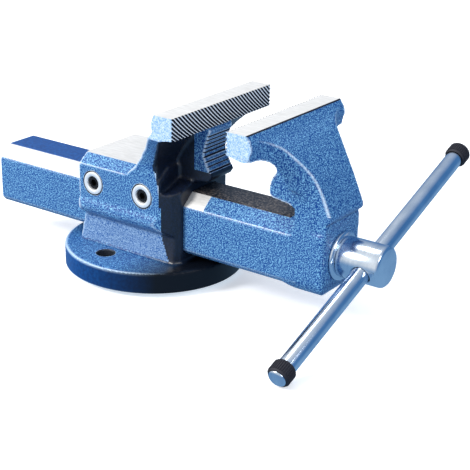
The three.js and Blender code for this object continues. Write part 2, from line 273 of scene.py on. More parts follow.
def all_of(name: str, pieces: list[bpy.types.Object]) -> bpy.types.Object:
    """Returns the first piece with all of the others added to it."""
    first, *rest = pieces
    for piece in rest:
        combine(first, piece, Cut.ADD)
    first.name = name
    return first


def machined(piece: bpy.types.Object, tools: list[bpy.types.Object]) -> bpy.types.Object:
    """Takes each of the tools away from a piece."""
    for tool in tools:
        combine(piece, tool, Cut.TAKE)
    return piece


def joined(name: str, pieces: list[bpy.types.Object]) -> bpy.types.Object:
    """Returns several pieces that don't touch as one object."""
    deselect()
    for piece in pieces:
        piece.select_set(True)
    bpy.context.view_layer.objects.active = pieces[0]
    if len(pieces) > 1:
        bpy.ops.object.join()
    pieces[0].name = name
    return pieces[0]


def forged(piece: bpy.types.Object, grain: float, passes: int) -> bpy.types.Object:
    """Gives a rough solid the soft edges and fillets of a forging.

    Args:
        piece: the square-edged solid.
        grain: the size of the faces that it is rebuilt from, in millimetres.
        passes: how often its surface is relaxed, which sets the radius of its edges.

    Returns:
        The same piece.
    """
    finish_with(piece, "REMESH", mode="VOXEL", voxel_size=grain * MM, use_smooth_shade=True)
    finish_with(piece, "SMOOTH", factor=0.5, iterations=passes)
    return piece


def smooth(piece: bpy.types.Object, degrees: float = 32) -> bpy.types.Object:
    """Shades a piece smoothly over its gentle edges."""
    hold(piece)
    bpy.ops.object.shade_smooth_by_angle(angle=math.radians(degrees))
    return piece


def bevelled(piece: bpy.types.Object, width: float, segments: int = 2) -> bpy.types.Object:
    """Breaks the sharp edges of a piece by a width in millimetres."""
    finish_with(
        piece,
        "BEVEL",
        width=width * MM,
        segments=segments,
        limit_method="ANGLE",
        angle_limit=math.radians(35),
        use_clamp_overlap=True,
    )
    return piece


def paint_faces(piece: bpy.types.Object, finish: bpy.types.Material, where: object) -> None:
    """Gives a material to the forged faces that a test picks, and leaves cut and painted ones.

    Args:
        piece: the piece to paint, with the forging's own finish as its first material.
        finish: the material.
        where: a test of a face's centre in millimetres and its normal.
    """
    piece.data.materials.append(finish)
    index = len(piece.data.materials) - 1
    for face in piece.data.polygons:
        if face.material_index == 0 and where(face.center / MM, face.normal):
            face.material_index = index


def seat(piece: bpy.types.Object, body: str, node: str) -> None:
    """Puts a finished piece on its body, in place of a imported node."""
    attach(piece, body)
    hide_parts(node)
    LOG.info("%s rides on %s with %d faces", piece.name, body, len(piece.data.polygons))


# ---------------------------------------------------------------- finishes


def linear(code: str) -> tuple[float, float, float, float]:
    """Returns an sRGB hex colour as linear RGBA."""
    parts = [int(code[i : i + 2], 16) / 255 for i in (0, 2, 4)]
    curve = [c / 12.92 if c <= 0.04045 else ((c + 0.055) / 1.055) ** 2.4 for c in parts]
    return (*curve, 1.0)


def add(tree: bpy.types.NodeTree, kind: str, links: dict, **settings: object) -> bpy.types.Node:
    """Adds a node to a tree.

    Args:
        tree: the node tree.
        kind: the node's type.
        links: values, or sockets to link from, by input name or number.
        settings: the node's own settings.

    Returns:
        The node.
    """
    node = tree.nodes.new(kind)
    for key, value in settings.items():
        setattr(node, key, value)
    for key, value in links.items():
        if isinstance(value, bpy.types.NodeSocket):
            tree.links.new(value, node.inputs[key])
        else:
            node.inputs[key].default_value = value
    return node


def mixed(
    tree: bpy.types.NodeTree, share: bpy.types.NodeSocket, first: object, second: object
) -> bpy.types.NodeSocket:
    """Returns a mix of two colours, each a value or a socket."""
    mix = add(tree, "ShaderNodeMix", {0: share, 6: first, 7: second}, data_type="RGBA")
    return mix.outputs[2]


def per_mm(size: float) -> float:
    """Returns the pattern scale that gives features of a size in millimetres."""
    return 1 / (size * MM)


SHADOW_TONE = "0a0f18"  # the colour of the painted shadow on enamel
# How convex or hollow a surface starts and ends to take the painted edge highlight or the painted
# corner shade, and its most share.
EDGE_HIGHLIGHT_RAMP = (0.513, 0.55, 0.95)
CORNER_SHADE_RAMP = (0.487, 0.45, 0.9)


@dataclass(frozen=True)
class Finish:
    """A surface with one or two colours, a grain and a gloss."""

    name: str
    colour: str
    second: str = ""
    grain: float = 1.0  # size of the colour pattern, mm
    contrast: tuple[float, float] = (0.35, 0.65)
    metallic: float = 0.0
    roughness: float = 0.4
    gloss: float = 0.5
    coat: float = 0.0
    relief: float = 0.0  # depth of the bumps, mm
    relief_grain: float = 1.0
    stretch: tuple[float, float, float] = (1.0, 1.0, 1.0)
    edge: str = ""  # painted highlight colour along convex edges
    corner_shade: str = ""  # painted shade colour in inside corners
    shadow_fade: tuple[float, float] = (0.0, 0.0)  # where painted shadow starts and ends to darken it, X in mm

    def pattern(
        self, tree: bpy.types.NodeTree, place: bpy.types.NodeSocket
    ) -> bpy.types.NodeSocket:
        """Returns the two colours, broken up by the grain."""
        noise = add(
            tree,
            "ShaderNodeTexNoise",
            {"Vector": place, "Scale": per_mm(self.grain), "Detail": 2.0, "Roughness": 0.55},
        )
        low, high = self.contrast
        spread = add(tree, "ShaderNodeMapRange", {0: noise.outputs[0], 1: low, 2: high})
        return mixed(tree, spread.outputs[0], linear(self.colour), linear(self.second))

    def edge_highlight_and_corner_shade(
        self, tree: bpy.types.NodeTree, shown: bpy.types.NodeSocket
    ) -> bpy.types.NodeSocket:
        """Returns a colour with painted highlights on convex edges and painted shade in inside
        corners.
        """
        for code, (start, end, most) in ((self.edge, EDGE_HIGHLIGHT_RAMP), (self.corner_shade, CORNER_SHADE_RAMP)):
            if code:
                form = add(tree, "ShaderNodeNewGeometry", {}).outputs["Pointiness"]
                share = add(tree, "ShaderNodeMapRange", {0: form, 1: start, 2: end, 4: most})
                shown = mixed(tree, share.outputs[0], shown, linear(code))
        return shown

    def shadowed(
        self, tree: bpy.types.NodeTree, shown: bpy.types.NodeSocket, place: bpy.types.NodeSocket
    ) -> bpy.types.NodeSocket:
        """Returns a colour darkened towards the front as painted shadow."""
        start, end = self.shadow_fade
        if start == end:
            return shown
        parts = add(tree, "ShaderNodeSeparateXYZ", {0: place})
        share = add(
            tree, "ShaderNodeMapRange", {0: parts.outputs[0], 1: start * MM, 2: end * MM}
        )
        return mixed(tree, share.outputs[0], shown, linear(SHADOW_TONE))

    def build(self) -> bpy.types.Material:
        """Returns the material, made once."""
        found = bpy.data.materials.get(self.name)
        if found:
            return found
        material = bpy.data.materials.new(self.name)
        material.use_nodes = True
        tree = material.node_tree
        tree.nodes.clear()
        place = add(tree, "ShaderNodeTexCoord", {})
        mapped = add(
            tree,
            "ShaderNodeMapping",
            {"Vector": place.outputs["Object"], "Scale": self.stretch},
        )
        shader = add(
            tree,
            "ShaderNodeBsdfPrincipled",
            {
                "Base Color": linear(self.colour),
                "Metallic": self.metallic,
                "Roughness": self.roughness,
                "Specular IOR Level": self.gloss,
                "Coat Weight": self.coat,
                "Coat Roughness": 0.18,
            },
        )
        if self.second:
            shown = self.pattern(tree, mapped.outputs[0])
            shown = self.edge_highlight_and_corner_shade(tree, shown)
            shown = self.shadowed(tree, shown, place.outputs["Object"])
            tree.links.new(shown, shader.inputs["Base Color"])
        if self.relief:
            dents = add(
                tree,
                "ShaderNodeTexNoise",
                {
                    "Vector": mapped.outputs[0],
                    "Scale": per_mm(self.relief_grain),
                    "Detail": 1.5,
                    "Roughness": 0.5,
                },
            )
            bump = add(
                tree,
                "ShaderNodeBump",
                {"Height": dents.outputs[0], "Strength": 1.0, "Distance": self.relief * MM},
            )
            tree.links.new(bump.outputs[0], shader.inputs["Normal"])
        out = add(tree, "ShaderNodeOutputMaterial", {"Surface": shader.outputs[0]})
        out.location = (300, 0)
        return material


# Stoved hammer enamel: the paint draws itself into small light and dark dimples; its pale speckle is
# in part painted glint off the dimples, its edge colour a painted highlight and its corner colour
# painted shade.
ENAMEL = Finish(
    "hammered_blue_enamel", "05428a", "8ac6ea", grain=0.95, contrast=(0.44, 0.68),
    roughness=0.34, gloss=0.3, coat=0.3, relief=0.3, relief_grain=1.2, edge="e2f0fc",
    corner_shade="06295c",
)
# The same enamel without its painted edge highlight, on round corners where that highlight would be
# too broad.
SOFT_ENAMEL = replace(ENAMEL, name="soft_corner_enamel", edge="")
# The same enamel darkened as painted shade in the step under the arm.
STEP_SHADE_ENAMEL = Finish(
    "painted_step_shade_enamel", "06295c", "0b4285", grain=1.5, roughness=0.4, gloss=0.3
)
# The same enamel, smoother and darker as painted shade, on the rim of the flange and the rear of the
# slide, with painted shadow towards the front.
SHADED_ENAMEL = Finish(
    "painted_shade_enamel", "033a78", "084f96", grain=2.5, contrast=(0.35, 0.7),
    roughness=0.4, gloss=0.2, coat=0.1, relief=0.06, relief_grain=1.6, edge="b9d7f3",
    shadow_fade=(-28, 44),
)
# The same enamel on the top of the flange, darker than on the upright faces as painted shade, with
# painted shadow towards the front.
FLANGE_ENAMEL = Finish(
    "flange_blue_enamel", "083f80", "74b2e0", grain=0.95, contrast=(0.46, 0.7),
    roughness=0.36, gloss=0.25, coat=0.2, relief=0.25, relief_grain=1.2, edge="cfe6fa",
    corner_shade="06295c", shadow_fade=(12, 50),
)
# The same enamel on the rougher forged face of the foot, painted paler there as painted light.
FOOT_ENAMEL = Finish(
    "frosted_blue_enamel", "2a5c9c", "96b6d6", grain=0.85, contrast=(0.38, 0.66),
    roughness=0.45, gloss=0.3, coat=0.1, relief=0.3, relief_grain=1.1, edge="cfe6fa",
    corner_shade="06295c",
)
# The same enamel, paler on the sawn ends of the jaws, the pale tone partly painted light.
PALE_ENAMEL = Finish(
    "pale_frosted_enamel", "86b2da", "d6e6f5", grain=0.9, contrast=(0.38, 0.64),
    roughness=0.5, relief=0.25, relief_grain=1.6,
)
# Enamel painted near-black with grey-brown flecks as painted shade and reflection on the slide's ridge
# in front of the guide.
RIDGE_SHADE_ENAMEL = Finish(
    "painted_ridge_shade_enamel", "0e131d", "8d837b", grain=1.3, contrast=(0.46, 0.74),
    roughness=0.42, relief=0.2, relief_grain=1.9,
)
# Surface-ground forged steel: bright and even, with a faint lengthwise grain.
GROUND = Finish(
    "ground_steel", "d6d3cd", "e8e5e0", grain=0.9, metallic=0.15, roughness=0.45,
    stretch=(0.1, 1.0, 1.0),
)
# The gripping lands, lapped bright between their grooves.
LAND = Finish("lapped_land", "fbfbfa", "ffffff", grain=0.8, roughness=0.5)
# Enamel painted near-black as the shade under the jaws on the front of the body.
FRONT_SHADE_ENAMEL = Finish(
    "painted_front_shade_enamel", "070f1e", "101f3a", grain=1.1, contrast=(0.44, 0.68),
    roughness=0.4, coat=0.2, relief=0.08, relief_grain=1.8,
)
# Milled grooves, dark with the scale that the grinding wheel never reaches.
GROOVE = Finish("blackened_groove", "0d1226", roughness=0.7)
# Bores and pockets as milled, oiled and in shade.
BORED = Finish("milled_bore", "2a2f38", "3a404a", grain=1.2, metallic=0.6, roughness=0.55)
# Chromium plate over a turned and polished bar.
PLATED = Finish(
    "chromium_plate", "bccde0", "dfe9f4", grain=7.0, contrast=(0.3, 0.7), metallic=1.0,
    roughness=0.16, relief=0.02, relief_grain=5.0, stretch=(1.0, 0.3, 0.3),
)
# Zinc plate with a white passivate.
ZINC = Finish("zinc_plate", "eef0f2", "fafafa", grain=1.5, metallic=0.5, roughness=0.4)
# Plain turned or milled steel.
TURNED = Finish(
    "turned_steel", "8b9096", "a9aeb4", grain=1.0, metallic=1.0, roughness=0.36,
    stretch=(0.2, 1.0, 1.0),
)
# Chemically blackened screw steel.
BLACK_OXIDE = Finish("black_oxide", "16171b", "24262b", grain=0.8, metallic=0.6, roughness=0.45)
# Turned tin bronze.
BRONZE = Finish("tin_bronze", "a8783a", "c49a5b", grain=1.2, metallic=1.0, roughness=0.35)
# Matt black over a straight knurl.
KNURLED = Finish("black_knurl", "04040f", "0a0a1f", grain=0.9, roughness=0.5, gloss=0.2)


# ---------------------------------------------------------------- jaws


@dataclass
class JawFace:
    """One gripping face: a ground land cut by close, curved grooves."""

    face: float  # X of the face
    outward: int  # +1 if it looks along +X
    bottom: float = 121.6
    top: float = 138.0
    half: float = 60.0
    pitch: float = 3.69
    width: float = 1.6
    depth: float = 0.9
    sweep: float = 150.0
    slope: float = 39.5  # degrees below level, at mid height
    start: float = 0.9  # where the middle groove crosses mid height
    past: float = 1.5  # how far a cutter runs past the land, above and below
    steps: int = 8  # straight stretches of a groove

    def groove(self, y: float) -> Outline:
        """Returns the outline of the groove that crosses mid height at y."""
        slope = math.radians(self.slope)
        middle = (self.bottom + self.top) / 2
        centre = (y + self.sweep * math.sin(slope), middle + self.sweep * math.cos(slope))
        edges = []
        for offset in (-self.width / 2, self.width / 2):
            radius = self.sweep + offset
            side = []
            for step in range(self.steps + 1):
                z = self.top + self.past - (self.top - self.bottom + 2 * self.past) * step / self.steps
                angle = math.acos((centre[1] - z) / self.sweep)
                side.append(
                    (centre[0] - radius * math.sin(angle), centre[1] - radius * math.cos(angle))
                )
            edges.append(side)
        return edges[0] + edges[1][::-1]

    def grooves(self) -> bpy.types.Object:
        """Returns the cutters of all of the grooves as one object."""
        reach = int((self.half + 14) / self.pitch)
        start = self.face - self.outward * self.depth
        end = self.face + self.outward * 2
        cutters = [
            prism(
                f"groove_{i + reach}",
                [(self.outward * a, b) for a, b in self.groove(i * self.pitch + self.start)],
                Run.ALONG_X,
                min(start, end),
                max(start, end),
                GROOVE.build(),
            )
            for i in range(-reach, reach + 1)
        ]
        return joined("grooves", cutters)


def jaw_ends(start: float, end: float, half: float, top: float) -> list[bpy.types.Object]:
    """Returns the two cutters that saw a jaw's ends square, between two places along X."""
    pale = PALE_ENAMEL.build()
    return [
        block("near_end", (start, -half - 8, 110), (end, -half, top + 8), pale),
        block("far_end", (start, half, 110), (end, half + 8, top + 8), pale),
    ]


def pipe_teeth(line: Outline, inward: int, half: float) -> bpy.types.Object:
    """Returns notch cutters at an even pitch along the face of a pipe jaw.

    Args:
        line: the face's line in X and Z.
        inward: +1 if the metal lies on the +X side of the line.
        half: half the width of the jaw.

    Returns:
        The cutters as one object.
    """
    pitch, depth = 3.3, 1.25
    lift = 1.4  # the cutter starts this far outside the face
    spread = 0.85 * 1.9  # half its width there
    cutters = []
    for (xa, za), (xb, zb) in zip(line, line[1:]):
        span = Vector((xb - xa, zb - za))
        count = int(span.length / pitch)
        along = span.normalized()
        into = Vector((-along.y, along.x))
        if into.x * inward < 0:
            into = -into
        for i in range(count):
            point = Vector((xa, za)) + along * ((i + 0.5) * span.length / count)
            outline = [
                tuple(point - along * spread - into * lift),
                tuple(point + along * spread - into * lift),
                tuple(point + into * depth),
            ]
            cutters.append(
                prism("notch", outline, Run.ACROSS_Y, -half - 2, half + 2, GROOVE.build())
            )
    return joined("pipe_notches", cutters)


# ---------------------------------------------------------------- fixed body


# Where the painted shade on the front of the body starts: pairs of height and X, in millimetres.
FRONT_SHADE_LINE = (
    (16, 40.4), (36, 31.6), (41, 36.4), (80, 36.4), (84, 31.5), (92, 30.5), (98, 33.8),
    (108, 41.0), (119, 50.8),
)


@dataclass
class FixedBody:
    """The base, the guide block, the neck and the rear jaw, forged in one."""

    grain: float
    extent: Extent = field(default_factory=lambda: Extent.of("fixed_body"))
    flange: float = 15.8
    guide_half: float = 38.0
    anvil: float = 86.0
    mouth: float = 47.6
    jaw_face: float = 64.7
    pipe_half: float = 14.0
    jaw_half: float = 60.0
    bolt_radius: float = 6.75
    bolts: tuple = ((-10.9, -45.4), (-10.9, 45.4), (-57.5, 0.0))
    clearance: float = 0.4

    @property
    def top(self) -> float:
        """The height of the jaw."""
        return self.extent.high.z

    @property
    def radius(self) -> float:
        """The radius of the base."""
        return -self.extent.low.x

    def base(self) -> bpy.types.Object:
        """Returns the round flange, a little deep so that its underside can be faced."""
        profile = [(-3, 0), (-3, self.radius), (self.flange, self.radius), (self.flange, 0)]
        return spun("base", profile, (0, 0, 0), (0, 0, 1), steps=128)

    def foot(self) -> bpy.types.Object:
        """Returns the tapered foot under the guide block."""
        side = [(-47, 12), (-47, 16), (-43, 40), (31, 44), (31, 36), (39.5, 16), (39.5, 12)]
        section = mirrored([(34, 12), (31.5, 36), (31.5, 44)])
        solid = prism("foot", side, Run.ACROSS_Y, -40, 40)
        return combine(solid, prism("foot_section", section, Run.ALONG_X, -50, 45), Cut.KEEP)

    def guide(self) -> bpy.types.Object:
        """Returns the guide block with its sloped nose, left high for the anvil to be ground."""
        half, high = self.guide_half, self.anvil + 2.2
        belly = eased(
            [(31.2, 37), (34, 39), (38, 41.5), (half + 2.6, 45.5), (half + 1.6, 50), (half, 52.5),
             (half, 56)],
            3,
        )
        section = mirrored([(33, 10), (31.2, 36), *belly, (half, 79.5), (26, high)])
        plan = mirrored([(half + 3, -42.6), (half + 3, 29), (33.5, 43.2), (27.5, self.mouth)])
        nose = [(-44, 5), (-44, 95), (33.2, 95), (36, 82.5), (48.6, 77), (48.6, 5)]
        crown = mirrored([(50, 5), (50, 68), (31, 71.5), (12, 78.5)])
        behind = mirrored([(50, 5), (50, 95)])
        solid = prism("guide", section, Run.ALONG_X, -42.6, self.mouth)
        cap = prism("crown", crown, Run.ALONG_X, 34.7, 48.6)
        combine(cap, prism("behind", behind, Run.ALONG_X, -44, 35), Cut.ADD)
        for tool in (
            prism("plan", turned_over(plan), Run.UP_Z, 5, 95),
            prism("nose", nose, Run.ACROSS_Y, -50, 50),
            cap,
        ):
            combine(solid, tool, Cut.KEEP)
        return solid

    def neck(self) -> bpy.types.Object:
        """Returns the flared neck that carries the jaw."""
        side = [
            (2, 78), (8, 84), (13.2, 88.9), (26, 103.5), (45.6, 124.1), (48, 131), (57, 131),
            (56, 121.5), (52.7, 118.9), (43, 108), (36, 98), (33.2, 92), (33.3, 78),
        ]
        front = mirrored(
            [
                (38, 78), (38, 82), (39.5, 92), (43.5, 100), (49, 108), (54.5, 114), (60, 120),
                (60, 131),
            ]
        )
        solid = prism("neck", side, Run.ACROSS_Y, -60, 60)
        return combine(solid, prism("neck_front", front, Run.ALONG_X, 0, 60), Cut.KEEP)

    def jaw(self) -> bpy.types.Object:
        """Returns the jaw bar, left over size on its top and its face."""
        face, top = self.jaw_face, self.top
        profile = [
            (48.4, top + 2.2), (face + 2.2, top + 2.2), (face + 2.2, 122), (53.4, 120),
            (48.3, 121.3), (46.2, 124.3), (45.6, 132.5),
        ]
        half = self.jaw_half + 0.9
        return prism("jaw", profile, Run.ACROSS_Y, -half, half)

    def pipe_jaw(self) -> bpy.types.Object:
        """Returns the boss that holds pipes."""
        profile = [
            (48, 123), (60, 121.5), (62.8, 118.2), (60, 110), (57, 99.5), (60.5, 91), (64.8, 84),
            (62, 79.8), (50, 77.5), (28, 77.5), (28, 98),
        ]
        return prism("pipe_jaw", profile, Run.ACROSS_Y, -self.pipe_half, self.pipe_half)

    def is_front_shaded(self, at: Vector, normal: Vector) -> bool:
        """Tells if a face lies where shade under the jaws is painted into the enamel.

        Args:
            at: the face's centre in millimetres.
            normal: its normal.

        Returns:
            Whether it is on the front of the foot, the guide or the neck, or on the boss's toe.
        """
        if not self.flange + 0.7 < at.z < 119 or normal.x < -0.3:
            return False
        if 60 < at.z < 86.5:
            return at.x > 36.4 or at.x > 32.6 and (at.z > 78 or normal.x > 0.3)
        on_boss = at.x > 49 and abs(at.y) < self.pipe_half + 1
        for (low, start), (high, end) in zip(FRONT_SHADE_LINE, FRONT_SHADE_LINE[1:]):
            if low <= at.z < high:
                share = (at.z - low) / (high - low)
                ease = 3 if normal.x > 0.6 else 0
                return at.x > start + (end - start) * share - ease and not on_boss
        return False

    def facing(self) -> list[bpy.types.Object]:
        """Returns the cutters that grind the flats and cut the slideway."""
        ground, bored = GROUND.build(), BORED.build()
        gap = self.clearance
        way = mirrored(
            [
                (20.8 + gap, 22.5 - gap), (24.8 + gap, 26.5 - gap), (24.8 + gap, 60.56),
                (13.96, 69.6 + gap),
            ]
        )
        return [
            block("underside", (-80, -80, -12), (80, 80, 0), ground),
            block("jaw_top", (42, -64, self.top), (72, 64, self.top + 8), ground),
            block("jaw_front", (self.jaw_face, -64, 121), (72, 64, self.top + 8), LAND.build()),
            *jaw_ends(40, 72, self.jaw_half, self.top),
            prism(
                "anvil",
                [(-50, self.anvil), (9, self.anvil), (14, self.anvil + 6), (-50, self.anvil + 6)],
                Run.ACROSS_Y, -36, 36, ground,
            ),
            prism("slideway", way, Run.ALONG_X, -80, 80, bored),
        ]

    def bores(self) -> list[bpy.types.Object]:
        """Returns the cutters of every hole and pocket."""
        bored = BORED.build()
        tools = []
        rim, rise = self.bolt_radius, self.flange
        hole = [
            (-1, 0), (-1, rim), (rise - 0.8, rim), (rise + 0.4, rim + 1.2), (rise + 4, rim + 1.2),
            (rise + 4, 0),
        ]
        for x, y in self.bolts:
            tools.append(spun("bolt_hole", hole, (x, y, 0), (0, 0, 1), bored))
        for node in ("nut_screw_rear", "nut_screw_front"):
            x = Extent.of(node).middle.x
            stepped = [(-1, 0), (-1, 7), (8.6, 7), (8.6, 4.3), (30, 4.3), (30, 0)]
            tools.append(spun("nut_screw_hole", stepped, (x, 0, 0), (0, 0, 1), bored))
        for side_name, side in (("left", -1), ("right", 1)):
            gib = Extent.of("guide_gib_" + side_name)
            pocket = [
                (20, gib.low.z - 0.3), (28.5, gib.low.z - 0.3), (28.5, gib.high.z + 0.3),
                (18, gib.high.z + 0.3), (14, 67), (14, 62),
            ]
            outline = [(side * a, b) for a, b in pocket]
            tools.append(
                prism("gib_pocket", outline, Run.ALONG_X, gib.low.x - 0.6, gib.high.x + 0.6, bored)
            )
            for end in ("rear", "front"):
                ring = Extent.of(f"lock_ring_{side_name}_{end}")
                floor = self.guide_half - 5.2
                seat_hole = [
                    (20, 0), (20, 5.3), (floor, 5.3), (floor, 9.5), (self.guide_half - 0.3, 9.5),
                    (self.guide_half + 0.6, 10.3), (60, 10.3), (60, 0),
                ]
                middle = ring.middle
                tools.append(
                    spun("ring_seat", seat_hole, (middle.x, 0, middle.z), (0, side, 0), bored)
                )
        return tools

    def make(self) -> None:
        """Makes the finished body."""
        parts = [self.base(), self.foot(), self.guide(), self.neck(), self.jaw(), self.pipe_jaw()]
        body = all_of("vise_casting", parts)
        forged(body, self.grain, 5)
        body.data.materials.clear()
        body.data.materials.append(ENAMEL.build())
        machined(body, self.facing() + self.bores())
        line = [(63.6, 85.8), (57, 99.5), (61.8, 115.3)]
        machined(body, [pipe_teeth(line, -1, self.pipe_half)])
        machined(body, [JawFace(self.jaw_face, 1).grooves()])
        rim = self.flange + 1.6  # where the foot starts
        paints = (
            # Paler enamel on the jaw ends, partly painted light.
            (PALE_ENAMEL, lambda c, n: abs(c.y) > 57 and c.z > 119.5 and abs(n.y) > 0.55),
            # Painted shade on the front of the body under the jaws.
            (FRONT_SHADE_ENAMEL, self.is_front_shaded),
            # Painted shade on the rim of the flange, with painted shadow towards the front.
            (SHADED_ENAMEL, lambda c, n: c.z < self.flange - 0.6 and c.xy.length > self.radius - 6),
            # Painted shade on the top of the flange, with painted shadow towards the front.
            (FLANGE_ENAMEL, lambda c, n: c.z < rim and n.z > -0.5),
            # Rougher enamel on the foot, painted paler as painted light.
            (FOOT_ENAMEL, lambda c, n: abs(n.y) > 0.6 and rim <= c.z < 37.5),
        )
        for finish, where in paints:
            paint_faces(body, finish.build(), where)
        seat(smooth(body), "vise_body", "fixed_body")


# ---------------------------------------------------------------- moving jaw


@dataclass
class MovingJaw:
    """The slide, the column, the arm and the front jaw, forged in one."""

    grain: float
    extent: Extent = field(default_factory=lambda: Extent.of("moving_jaw"))
    face: float = 109.6
    half: float = 24.8
    bottom: float = 22.5
    shoulder: float = 60.4
    ridge: float = 69.6
    ridge_half: float = 13.8
    front: float = 168.0
    column_rear: float = 142.7
    low: float = 17.5
    pipe_half: float = 14.0
    ground_to: float = 64.6

    @property
    def rear(self) -> float:
        """The rear end of the slide."""
        return self.extent.low.x

    @property
    def top(self) -> float:
        """The height of the jaw."""
        return self.extent.high.z

    def slide(self) -> bpy.types.Object:
        """Returns the prism slide, left long at the rear."""
        section = mirrored(
            [
                (20.8, self.bottom), (self.half, 26.5), (self.half, self.shoulder),
                (self.ridge_half, self.ridge),
            ]
        )
        return prism("slide", section, Run.ALONG_X, self.rear - 3, 146)

    def column(self) -> bpy.types.Object:
        """Returns the column's lower part, rounded underneath."""
        radius = 13
        middle = Vector((self.half - radius, self.low + radius))
        round_foot = [
            (middle.x + radius * math.sin(angle), middle.y - radius * math.cos(angle))
            for angle in map(math.radians, range(0, 91, 15))
        ]
        section = mirrored(round_foot + [(self.half, 65)])
        rear = self.column_rear
        side = [
            (rear - 8, 56), (rear - 8, self.bottom), (rear + 3, self.low),
            *eased(
                [
                    (self.front - 20, self.low), (self.front - 5, self.low),
                    (self.front - 0.3, self.low + 5), (self.front, self.low + 20),
                ],
                3,
            ),
            (self.front, 70),
            *eased([(rear + 1, 70), (rear - 1, 62.5), (rear - 6, 60), (rear - 8, 56)])[:-1],
        ]
        solid = prism("column", section, Run.ALONG_X, self.column_rear - 8, self.front)
        combine(solid, prism("column_side", side, Run.ACROSS_Y, -40, 40), Cut.KEEP)
        corner = eased(
            [
                (self.half, self.front - 8), (self.half - 0.6, self.front - 2),
                (self.half - 2.5, self.front), (self.half - 8, self.front),
            ]
        )
        plan = mirrored([(self.half, rear - 9), *corner])
        return combine(
            solid, prism("column_plan", turned_over(plan), Run.UP_Z, 10, 80), Cut.KEEP
        )

    def arm(self) -> bpy.types.Object:
        """Returns the arm that flares from the column to the jaw."""
        front = [
            (127, 136), (129.4, 133.8), (132, 131), (139, 126), (146, 119), (154.4, 110),
            (160, 102), (165, 92.5), (169, 83.5), (171.4, 77.5),
        ]
        rear = [
            (self.column_rear, 80), (142, 90), (141, 100), (138.8, 107.5), (135, 114),
            (131, 118.5), (127.5, 120),
        ]
        side = [
            (118, 136), *eased(front), (170.6, 75), (self.front - 1.2, 73.2), (self.front, 71),
            (self.front, 60), (self.column_rear, 60), *eased(rear), (118, 120),
        ]
        flare = [
            (60, 128.6), (50, 130.2), (43.4, 132.4), (36.8, 137), (33.2, 141), (30.2, 146),
            (27, 151), (24.6, 155.5), (23.2, 160), (22.8, 164), (22.8, 168), (23, 173),
        ]
        plan = mirrored([(60, 116), *eased(flare)])
        waist = [
            (self.half, 55), (self.half, 80), (25.2, 88), (27, 94), (32, 97), (44, 99), (60, 100),
            (60, 140),
        ]
        outline = mirrored(eased(waist))
        solid = prism("arm", side, Run.ACROSS_Y, -60, 60)
        combine(solid, prism("arm_plan", turned_over(plan), Run.UP_Z, 55, 140), Cut.KEEP)
        return combine(solid, prism("arm_front", outline, Run.ALONG_X, 110, 175), Cut.KEEP)

    def jaw(self) -> bpy.types.Object:
        """Returns the jaw bar, left over size on its top and its face."""
        face, top = self.face - 2.2, self.top + 2.2
        profile = [
            (face, top), (125.2, top), (126.2, 137.4), (128.6, 134.5), (130.2, 130.5), (130.2, 127),
            (128.4, 122), (126, 119), (122.8, 118.5), (115.4, 120.3), (face, 122),
        ]
        half = self.extent.high.y + 0.9
        return prism("front_jaw", profile, Run.ACROSS_Y, -half, half)

    def pipe_jaw(self) -> bpy.types.Object:
        """Returns the boss that holds pipes."""
        profile = [
            (145, 66), (145, 105), (130, 120.5), (122, 121), (116.5, 112), (115.5, 108),
            (120.5, 100.3), (116.5, 94.8), (114.3, 88.1), (114.3, 83.5), (116.8, 80.6),
            (122, 79.6), (130, 79), (135, 77), (138.5, 73), (140, 66),
        ]
        return prism("front_pipe_jaw", profile, Run.ACROSS_Y, -self.pipe_half, self.pipe_half)

    def bevel_tool(self, side: int) -> bpy.types.Object:
        """Returns the grinding cut of one bevel of the slide."""
        run = Vector((self.ridge_half - self.half, self.ridge - self.shoulder))
        out = Vector((run.y, -run.x)).normalized()
        foot = Vector((self.half, self.shoulder)) - out * 0.15
        ends = (foot - run * 0.15, foot + run * 1.15)
        corners = [*ends, ends[1] + out * 8, ends[0] + out * 8]
        outline = [(side * c.x, c.y) for c in corners]
        return prism("bevel", outline, Run.ALONG_X, self.rear - 6, self.ground_to, GROUND.build())

    def tools(self) -> list[bpy.types.Object]:
        """Returns the cutters that face, bore and hollow the forging."""
        ground, bored = GROUND.build(), BORED.build()
        rear, top = self.rear, self.top
        spindle = Extent.of("spindle").middle.z
        cavity = mirrored([(9, 0), (9, 29), (15.5, 29), (15.5, 55.8), (10.5, 60.8)])
        recess = mirrored([(22.4, 26), (22.4, 59.2), (13, 67)])
        cover = Extent.of("slide_end_cover")
        tools = [
            block("end", (rear - 10, -40, 0), (rear, 40, 90), bored),
            self.bevel_tool(1),
            self.bevel_tool(-1),
            block("top", (100, -64, top), (140, 64, top + 8), ground),
            block("face", (100, -64, 121), (self.face, 64, top + 8), LAND.build()),
            *jaw_ends(100, 140, self.extent.high.y, top),
            # A small cut along the jaw top's front edge, coloured near-black as painted shade of that
            # edge.
            prism(
                "nick", [(125.0, top + 0.4), (127, top + 0.4), (127, top - 1.2)], Run.ACROSS_Y,
                -64, 64, GROOVE.build(),
            ),
            prism("cavity", cavity, Run.ALONG_X, rear - 1, 146, bored),
            prism("recess", recess, Run.ALONG_X, rear - 1, cover.high.x + 0.3, bored),
            spun(
                "bore", [(120, 0), (120, 10.3), (180, 10.3), (180, 0)], (0, 0, spindle), (1, 0, 0),
                bored,
            ),
        ]
        for side_name in ("left", "right"):
            screw = Extent.of("end_cover_screw_" + side_name).middle
            hole = [(-1, 0), (-1, 2.3), (14, 2.3), (14, 0)]
            tools.append(spun("cover_hole", hole, (rear, screw.y, screw.z), (1, 0, 0), bored, 24))
        return tools

    def is_sawn(self, at: Vector, normal: Vector) -> bool:
        """Tells if a face lies on an end of the jaw."""
        return abs(at.y) > 57 and at.z > 118 and at.x < 131 and abs(normal.y) > 0.55

